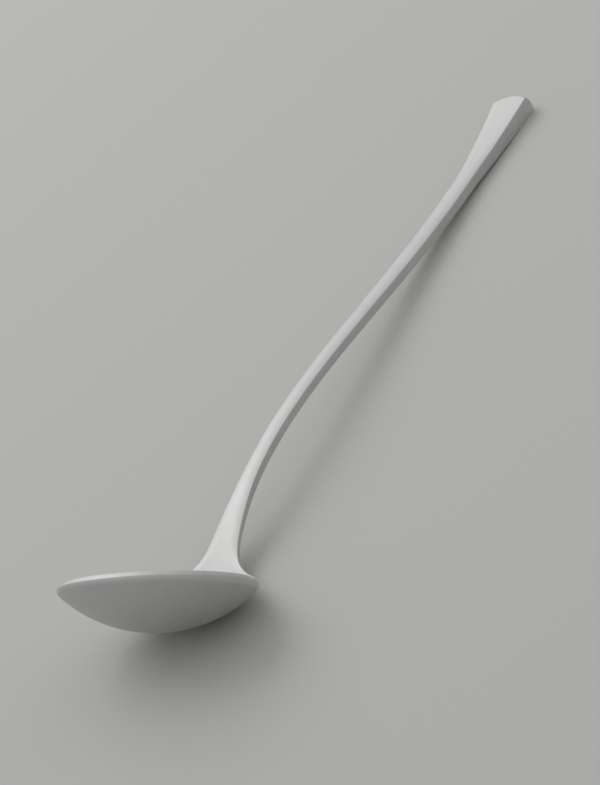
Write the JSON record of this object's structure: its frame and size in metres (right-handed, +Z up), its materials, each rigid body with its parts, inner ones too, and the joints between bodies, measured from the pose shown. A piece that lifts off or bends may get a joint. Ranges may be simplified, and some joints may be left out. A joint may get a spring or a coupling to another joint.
{
  "type": "ladle",
  "caption": "Slim satin steel serving ladle: shallow round bowl welded at its rim to a long flat handle that arches to a thick flared tip, lying on its back.",
  "frame": {"origin": "on the table, under the middle of the ladle's length, in its plane of symmetry", "axes": "+Z up from the table, +X from the bowl towards the handle's tip, +Y to the left of the handle seen from the bowl"},
  "size_m": [0.34, 0.065, 0.0456],
  "materials": {
    "bowl_steel": "satin, fine blasted",
    "weld_steel": "ground flush and blasted with the rest",
    "handle_steel": "satin, fine blasted"
  },
  "bodies": {
    "root": {"bowl": "bowl_steel", "weld_seam": "weld_steel", "handle": "handle_steel"}
  },
  "joints": []
}
